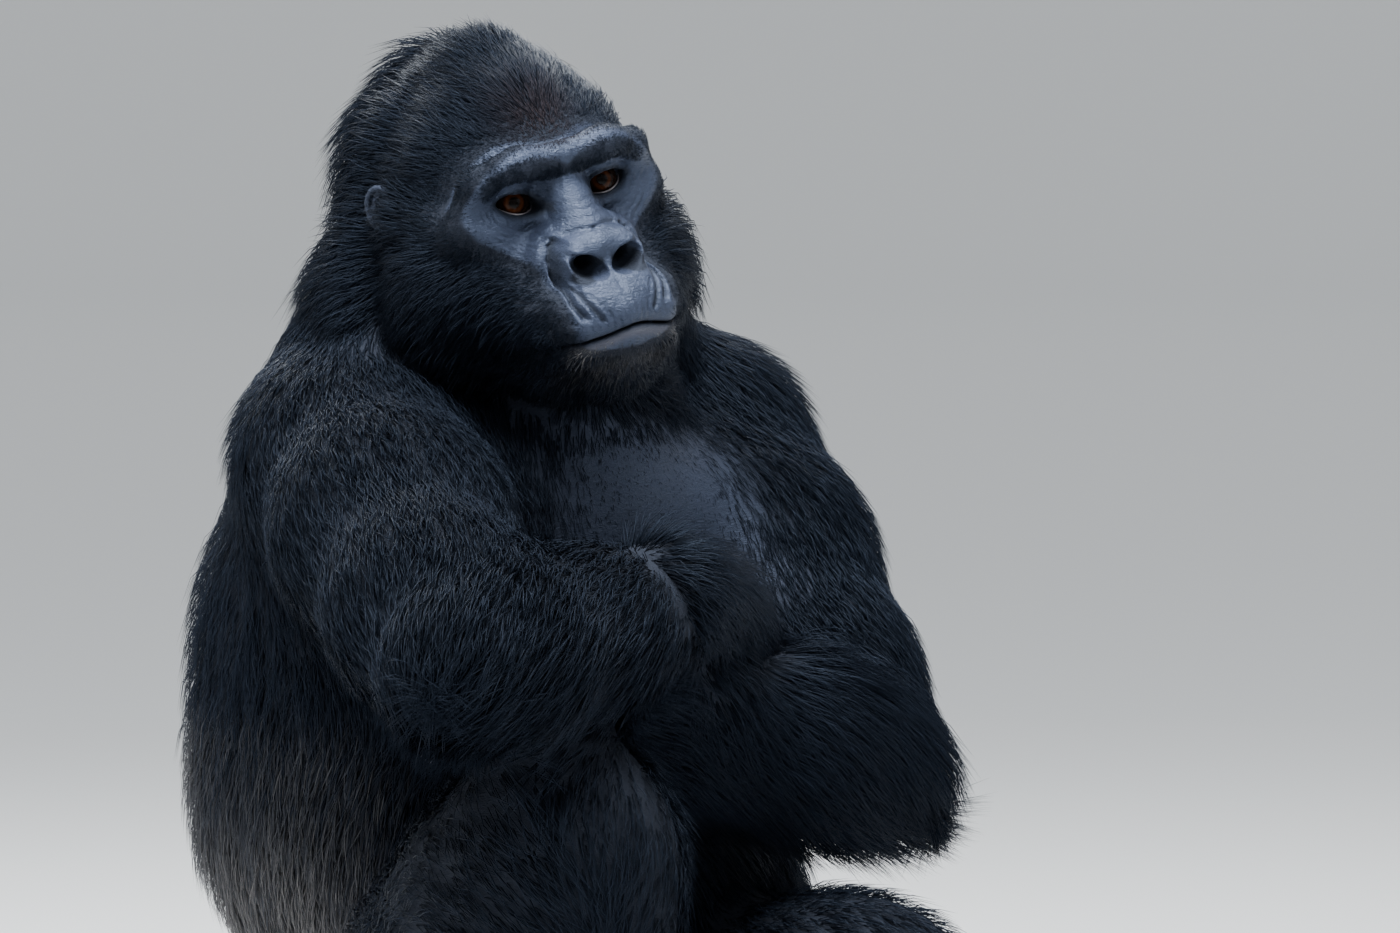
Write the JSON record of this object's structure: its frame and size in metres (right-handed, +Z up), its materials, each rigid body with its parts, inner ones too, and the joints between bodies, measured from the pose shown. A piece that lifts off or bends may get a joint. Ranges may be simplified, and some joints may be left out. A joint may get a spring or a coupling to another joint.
{
  "type": "sitting silverback mountain gorilla",
  "caption": "Still, life-size model of a grown male mountain gorilla that sits with folded forearms on a raised knee, head turned to its right.",
  "frame": {"origin": "the point of the floor below the hips, in the flat on which the animal sits", "axes": "+Z up; the body faces -Y, and its own right side lies towards -X"},
  "size_m": [0.6785, 1.0475, 0.9785],
  "materials": {
    "coat": "long shaggy blue-black hair with a soft sheen",
    "silver_coat": "shorter silver-grey hair of the saddle",
    "skin": "bare slate-grey wrinkled skin with an oily gloss",
    "eye": "wet, with an amber-brown iris in a dark brown white of the eye"
  },
  "bodies": {
    "root": {"head": "coat", "lower_jaw": "skin", "ear_r": "skin", "ear_l": "skin", "eye_r": "eye", "eye_l": "eye", "neck": "coat", "chest": "coat", "belly": "silver_coat", "hips": "silver_coat", "upper_arm_r": "coat", "upper_arm_l": "coat", "forearm_r": "coat", "forearm_l": "coat", "hand_r": "skin", "hand_l": "skin", "thigh_r": "coat", "thigh_l": "coat", "shank_r": "coat", "shank_l": "coat", "foot_r": "skin", "foot_l": "skin"}
  },
  "joints": []
}
